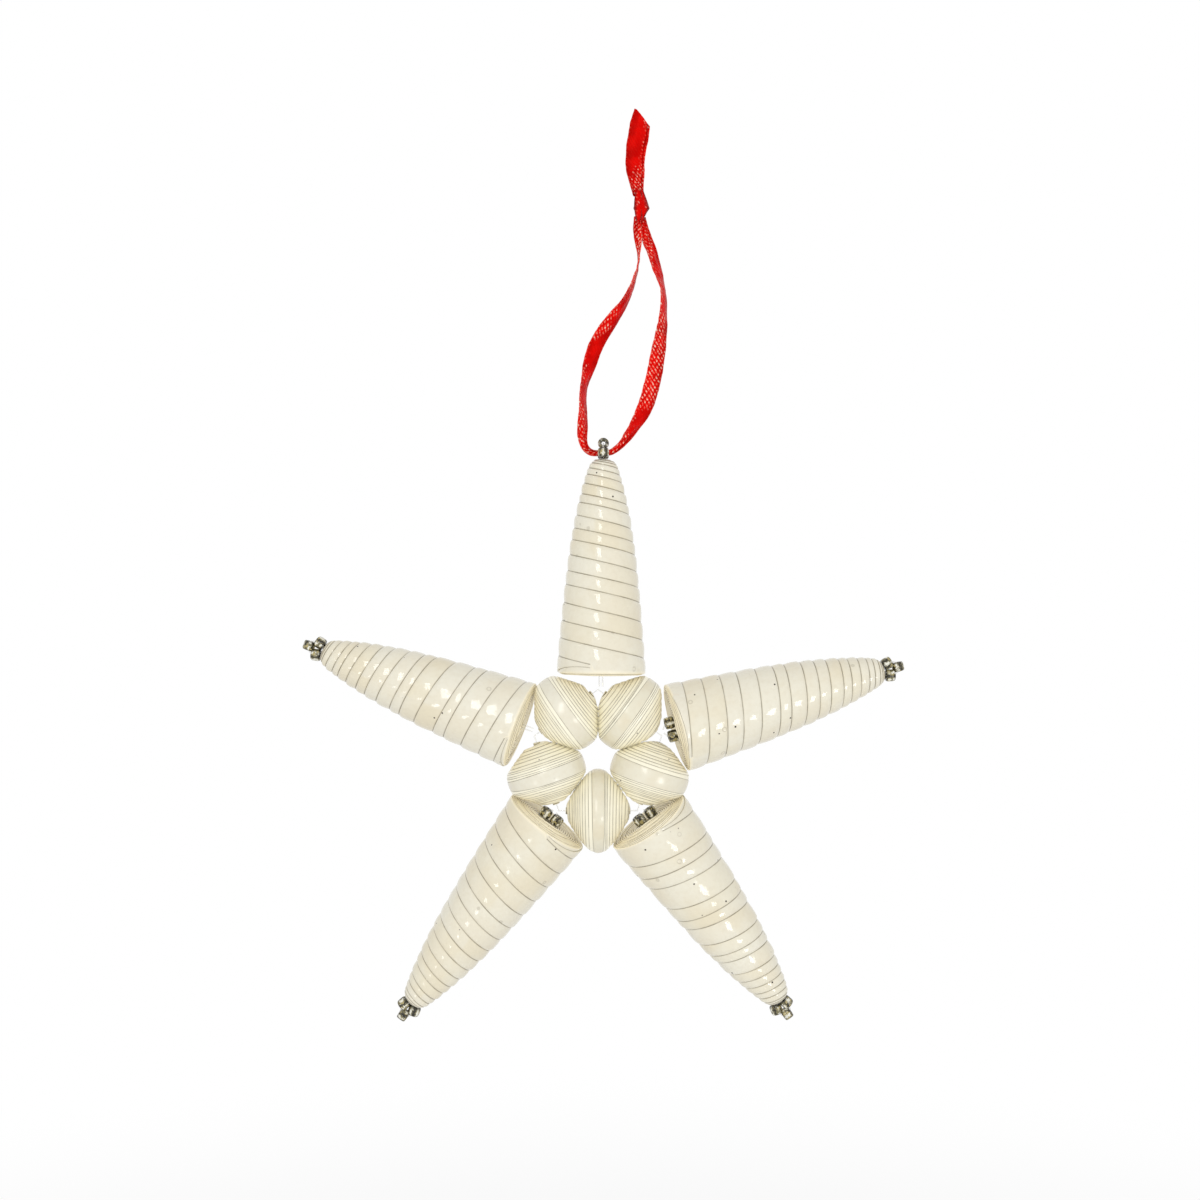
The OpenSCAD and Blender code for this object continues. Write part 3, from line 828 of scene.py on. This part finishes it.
# Ring beads: a strip that narrows from both sides, so that its turns step down to both ends of the hole
ringRoll = {
    "firstSeed": 100, "bore": 0.7 * mm, "soften": 0.9 * mm, "pinch": -0.08 * mm,
    "halfLength": 6.5 * mm, "endRound": 1.1 * mm, "endDrop": 1.3 * mm, "endBend": 3,
    "turns": 11, "coreTurns": 3, "coreStep": 0.08 * mm, "perTurn": 64,
    "uneven": 0.75, "followShare": 0.75, "layerGap": 0.02 * mm, "leastBand": 0.02 * mm,
    "edgeRound": 0.1 * mm, "edgeOfBand": 0.9, "edgeLeft": 0.3,
    "tongueTurn": 0.4, "tongueWidth": 0.35 * mm, "tongueBend": 0.8, "tongueLap": 0.3,
    "ripple": 0.015 * mm, "rippleSize": 2.5 * mm, "rippleScale": 3, "noLine": 9,
    # rows across the part of a turn that shows, from its edge to the lap, and one under the lap
    "rowShares": (1, 0.94, 0.8, 0.5, 0.2, 0), "underLap": 0.5,
}
# where the strip ends in degrees, how far its edges lie from the crest on both sides and how they tilt,
# and the crest's radius and how fast it falls away; all but the first in mm
ringWinding = {
    "upper_right": {"end": 70, "crest": (0.8, 1.2), "tilt": 0.2, "crown": (8.0, 0.06)},
    "right": {"end": 110, "crest": (1.4, 1.0), "tilt": -0.25, "crown": (8.0, 0.06)},
    "bottom": {"end": 80, "crest": (0.7, 1.1), "tilt": 0.15, "crown": (8.4, 0.17)},
    "left": {"end": 60, "crest": (1.0, 1.4), "tilt": 0.3, "crown": (8.0, 0.06)},
    "upper_left": {"end": 100, "crest": (1.2, 0.7), "tilt": -0.2, "crown": (8.0, 0.06)},
}


def rollRing(name, seed):
    roll, winding = ringRoll, ringWinding[name]
    placed = beadFrame(f"ring_{name}_spin")
    random.seed(roll["firstSeed"] + seed)
    fromCentre = (jointPlace(f"ring_{name}_spin") - ringCentre).length
    endAngle = math.radians(winding["end"])
    slope = math.tan(math.pi / len(ringNames))
    tipTurn, allTurns = roll["turns"], roll["turns"] + roll["coreTurns"]
    crestRadius, crown = winding["crown"]
    lumps = [random.uniform(-1, 1) for turn in range(allTurns + 3)]

    def envelope(width):
        # the bead's outline: a crowned crest running into the flank that meets the next bead
        crest = crestRadius * mm - crown * width * width / mm
        end = clamp((width - roll["halfLength"] + roll["endRound"]) / roll["endRound"])
        flank = fromCentre - (width + roll["pinch"]) / slope - roll["endDrop"] * end ** roll["endBend"]
        blend = clamp(0.5 + 0.5 * (flank - crest) / roll["soften"])
        return flank + (crest - flank) * blend - roll["soften"] * blend * (1 - blend)

    def sideWidths(crest):
        # half widths of the turns on one side, unevenly spaced as the strip wandered
        steps = [1 + roll["uneven"] * random.uniform(-1, 1) for turn in range(tipTurn)]
        share = (roll["halfLength"] - crest * mm) / sum(steps)
        widths = [crest * mm]
        for step in steps:
            widths.append(widths[-1] + step * share)
        core = range(1, roll["coreTurns"] + 3)
        return widths + [roll["halfLength"] - roll["coreStep"] * turn for turn in core]

    sides = [sideWidths(crest) for crest in winding["crest"]]

    @lru_cache(maxsize=None)
    def edgeWidth(turn, side):
        tongue = clamp(turn / roll["tongueTurn"]) ** roll["tongueBend"]
        lean = winding["tilt"] * mm * math.sin(math.pi * clamp(turn / tipTurn)) * (1 if side else -1)
        width = between(sides[side], turn) + lean * math.sin(endAngle - 2 * math.pi * turn)
        return roll["tongueWidth"] + (width - roll["tongueWidth"]) * tongue

    @lru_cache(maxsize=None)
    def lapWidth(turn, side):
        edge = edgeWidth(turn, side)
        if turn < 1:
            return roll["tongueLap"] * edge
        return min(edgeWidth(turn - 1, side), edge - roll["leastBand"])

    def outerRadius(turn, width, side):
        if turn >= tipTurn:
            tip = envelope(roll["halfLength"])
            return tip - (tip - roll["bore"]) * (turn - tipTurn) / roll["coreTurns"]
        lap, edge = lapWidth(turn, side), edgeWidth(turn, side)
        share = clamp((width - lap) / (edge - lap))
        low, high = envelope(lap), envelope(edge)
        spread = (low - high) * (1 - roll["followShare"])
        if turn < 1:
            return envelope(min(width, edge))
        return low - spread + (high - low + spread) * share

    def innerRadius(turn, width, side):
        if turn + 1 > allTurns:
            return roll["bore"]
        outer = outerRadius(turn, width, side)
        return min(outerRadius(turn + 1, width, side), outer - 2 * roll["layerGap"])

    count = allTurns * roll["perTurn"]
    turns = [allTurns * i / count for i in range(count + 1)]
    shares = roll["rowShares"]
    half = len(shares)

    def place(column, row, outside):
        turn = turns[column]
        side = 0 if row <= half else 1
        step = row if side == 0 else 2 * half + 1 - row
        edge, lap = edgeWidth(turn, side), lapWidth(turn, side)
        width = lap + (edge - lap) * shares[step] if step < half else roll["underLap"] * lap
        outer, inner = outerRadius(turn, width, side), innerRadius(turn, width, side)
        radius = inner
        if outside:
            soft = min(roll["edgeRound"], roll["edgeOfBand"] * (edge - lap))
            into = clamp((width - edge + soft) / soft)
            radius = outer - (outer - inner) * (1 - roll["edgeLeft"]) * (1 - math.sqrt(1 - into * into))
        angle = endAngle - 2 * math.pi * turn
        around = Vector((math.cos(angle), math.sin(angle), width / roll["rippleSize"] + seed))
        ripple = noise.noise(around * roll["rippleScale"])
        radius -= roll["ripple"] * (1 + ripple) if turn < tipTurn else 0
        along = -width if side == 0 else width
        spot = Vector((radius * math.cos(angle), radius * math.sin(angle), along))
        gap = (width - lap) / mm if turn >= 1 else roll["noLine"]
        rawEdge = clamp(turn - tipTurn + 1)
        return placed @ spot, (gap, rawEdge, 0.5 + 0.5 * lumps[int(turn)])

    card = shapedSlab(count, 2 * half + 1, place, cardMarks)
    standIn(card, f"card_ring_{name}", ringPaint, "ring_card", f"ring_bead_{name}")


for seed, name in enumerate(ringNames):
    rollRing(name, seed)
print("ring beads rolled")

# Seed beads: small glass rings with a lining, over olive and gold; dark reflections at the ends and in
# stripes and pale highlights where the lining glints through are painted
seedLook = {
    "outer": 2.45 * mm, "bore": 0.8 * mm, "length": 1.9 * mm, "square": 0.6, "sides": 36, "section": 20,
    # radians from one bead to the next, and size in the top loop, where the ribbon needs room
    "spin": 1.7, "loopShare": 0.92,
    # dark is painted dark reflection and pale is painted highlight
    "dark": (44, 41, 28), "olive": (126, 119, 86), "gold": (182, 168, 116), "pale": (248, 246, 232),
    "facets": 5, "swirl": 6, "facet": 0.55 * mm, "fleck": 0.38 * mm, "fleckRough": 0.6,
    "bumpDepth": 0.06 * mm, "rough": 0.1, "endShare": 0.75,
    # where each mask starts and where it is full
    "oliveMask": (-0.75, -0.2), "goldMask": (0.7, 0.8), "paleMask": (0.3, 0.7), "paleFacets": (0.25, 0.45),
    "endMask": (0.6, 0.85), "endFlecks": (0.3, 0.6),
}


def seedGlass():
    look = seedLook
    material, paint = newMaterial("linedGlass")
    place = paint.add("ShaderNodeTexCoord", out="Object")
    cells = paint.add("ShaderNodeTexVoronoi", None, {"Vector": place, "Scale": 1 / look["facet"]}, "Color")
    first, second, third = cells.apart()
    flecks = noiseAt(paint, place, look["fleck"], 3, look["fleckRough"])
    stripes = (markOf(paint, "roundSeed") * look["facets"] + flecks * look["swirl"]).sine()
    ends = paint.maths("ABSOLUTE", markOf(paint, "alongSeed")).step(*look["endMask"])
    # painted reflections: dark and olive stripes, and pale highlight stripes on some facets
    glints = stripes.step(*look["paleMask"]) * third.step(*look["paleFacets"])
    tone = stripes.step(*look["oliveMask"]).colours(look["dark"], look["olive"])
    tone = second.step(*look["goldMask"]).colours(tone, look["gold"])
    tone = glints.colours(tone, look["pale"])
    # painted dark reflection towards both ends
    tone = (ends * flecks.step(*look["endFlecks"]) * look["endShare"]).colours(tone, look["dark"])
    link(tone, principled(material)["Base Color"])
    principled(material)["Roughness"].default_value = look["rough"]
    bumpTo(material, paint, (first + flecks) * look["bumpDepth"])
    return material


def seedAxis(node):
    # the hole runs square to the flat ends, which hold the most area in one direction
    sizes = {}
    # opposite ends count as one direction, told apart by a slanting line
    slanting = Vector((0.31, 0.47, 0.83))
    for face in nodes[node].data.polygons:
        facing = face.normal if face.normal.dot(slanting) > 0 else -face.normal
        key = tuple(round(part, 1) for part in facing)
        area, total = sizes.get(key, (0, Vector()))
        sizes[key] = area + face.area, total + facing * face.area
    return max(sizes.values(), key=lambda found: found[0])[1].normalized()


def makeSeed():
    look = seedLook
    deselectAll()
    thick = (look["outer"] - look["bore"]) / 4
    middle = look["bore"] / 2 + thick
    bpy.ops.mesh.primitive_torus_add(
        major_radius=middle, minor_radius=thick,
        major_segments=look["sides"], minor_segments=look["section"],
    )
    bead = bpy.context.object
    resizeActive((1, 1, look["length"] / 2 / thick), (0, 0, 0))
    marks = {"alongSeed": [], "roundSeed": []}
    for vertex in bead.data.vertices:
        # squarer shoulders than a plain ring has
        around = math.hypot(vertex.co.x, vertex.co.y)
        out = clamp((around - middle) / thick, -1, 1)
        up = clamp(vertex.co.z / (look["length"] / 2), -1, 1)
        full = middle + thick * math.copysign(abs(out) ** look["square"], out)
        vertex.co.x *= full / around
        vertex.co.y *= full / around
        vertex.co.z = look["length"] / 2 * math.copysign(abs(up) ** look["square"], up)
        marks["alongSeed"].append(2 * vertex.co.z / look["length"])
        marks["roundSeed"].append(math.atan2(vertex.co.y, vertex.co.x))
    carryMarks(bead, marks)
    return bead


def stringSeeds():
    glass = seedGlass()
    pattern = makeSeed()
    names = [node for node in nodes if node.startswith(("tip_bead", "base_bead"))]
    for number, node in enumerate(names):
        low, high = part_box(node)
        bead = pattern.copy()
        bead.data = pattern.data.copy()
        bpy.context.collection.objects.link(bead)
        turned = seedAxis(node).to_track_quat("Z", "Y").to_matrix().to_4x4()
        spun = Matrix.Rotation(number * seedLook["spin"], 4, "Z")
        snug = Matrix.Scale(seedLook["loopShare"] if "_top_" in node else 1, 4)
        bead.data.transform(Matrix.Translation((Vector(low) + Vector(high)) / 2) @ turned @ spun @ snug)
        closeNormals(bead)
        standIn(bead, node.replace("bead", "seed"), glass, "seed_glass", node)
    bpy.data.objects.remove(pattern)
    return len(names)


print("seed beads strung:", stringSeeds())

# Thread: clear nylon line, kept as CAD made it
nylonLook = {
    "clear": (250, 249, 244), "dull": (236, 233, 222), "cloud": 1.5 * mm,
    "through": 0.7, "rough": 0.2, "alpha": 0.3,
}


def nylon():
    look = nylonLook
    material, paint = newMaterial("clearNylon")
    place = paint.add("ShaderNodeTexCoord", out="Object")
    tone = noiseAt(paint, place, look["cloud"]).colours(look["clear"], look["dull"])
    link(tone, principled(material)["Base Color"])
    principled(material)["Transmission Weight"].default_value = look["through"]
    principled(material)["Roughness"].default_value = look["rough"]
    principled(material)["Alpha"].default_value = look["alpha"]
    return material


clearNylon = nylon()
for node in nodes:
    if "thread" in node:
        nodes[node].data.materials.clear()
        nodes[node].data.materials.append(clearNylon)
print("threads dressed")

# Stage: pale floor well below the star, white all round, a tall soft lamp and two small ones
stageLook = {
    # the floor turns white from near to far, in metres from its middle
    "drop": 260 * mm, "width": 6.0, "floorTone": 0.88, "near": 0.2, "far": 0.7, "nearWhite": 0.7,
    "fill": 0.66,
    # place, width and height, power
    "lamps": [
        ((-0.124, -0.55, 0.19), (0.13, 0.28), 0.68), ((0.31, -0.51, -0.17), (0.14, 0.14), 0.48),
        ((-0.295, -0.5, -0.23), (0.09, 0.09), 0.16),
    ],
}


def seenRays(paint):
    rays = paint.add("ShaderNodeLightPath").socket.node.outputs
    names = ("Is Camera Ray", "Is Glossy Ray", "Is Transmission Ray")
    camera, glossy, through = (Shade(paint.tree, rays[name]) for name in names)
    return paint.maths("MAXIMUM", paint.maths("MAXIMUM", camera, glossy), through)


def whiteWorld():
    world = bpy.data.worlds.new("whiteStudio")
    scene.world = world
    world.use_nodes = True
    world.node_tree.nodes.clear()
    air = Shade(world.node_tree)
    fill = air.add("ShaderNodeBackground", None, {"Color": (1, 1, 1, 1), "Strength": stageLook["fill"]})
    seen = air.add("ShaderNodeBackground", None, {"Color": (1, 1, 1, 1), "Strength": 1.0})
    mixed = air.add("ShaderNodeMixShader", None, {0: seenRays(air), 1: fill, 2: seen})
    output = world.node_tree.nodes.new("ShaderNodeOutputWorld")
    link(mixed, output.inputs["Surface"])


def paleFloor():
    deselectAll()
    bpy.ops.mesh.primitive_plane_add(size=stageLook["width"])
    floor = bpy.context.object
    floor.name = "paleFloor"
    floor.location = (ringCentre.x, ringCentre.y, ringCentre.z - stageLook["drop"])
    material, paint = newMaterial("paleFloor")
    tree = material.node_tree
    tree.nodes.remove(tree.nodes["Principled BSDF"])
    x, y = paint.add("ShaderNodeTexCoord", out="Object").apart()[:2]
    away = paint.maths("SQRT", x * x + y * y)
    lit = paint.add("ShaderNodeBsdfDiffuse", None, {"Color": (stageLook["floorTone"],) * 3 + (1,)})
    white = paint.add("ShaderNodeEmission", None, {"Color": (1, 1, 1, 1), "Strength": 1.0})
    share = away.step(stageLook["near"], stageLook["far"], stageLook["nearWhite"], 1) * seenRays(paint)
    mixed = paint.add("ShaderNodeMixShader", None, {0: share, 1: lit, 2: white})
    link(mixed, tree.nodes["Material Output"].inputs["Surface"])
    floor.data.materials.append(material)


def softLamps():
    for number, (place, size, power) in enumerate(stageLook["lamps"]):
        spot = ringCentre + Vector(place)
        aim = (ringCentre - spot).to_track_quat("-Z", "Y").to_euler()
        bpy.ops.object.light_add(type="AREA", location=spot, rotation=aim)
        lamp = bpy.context.object
        lamp.name = f"softLamp{number + 1}"
        lamp.data.shape = "RECTANGLE"
        lamp.data.size, lamp.data.size_y = size
        lamp.data.energy = power


whiteWorld()
paleFloor()
softLamps()
print("stage set")
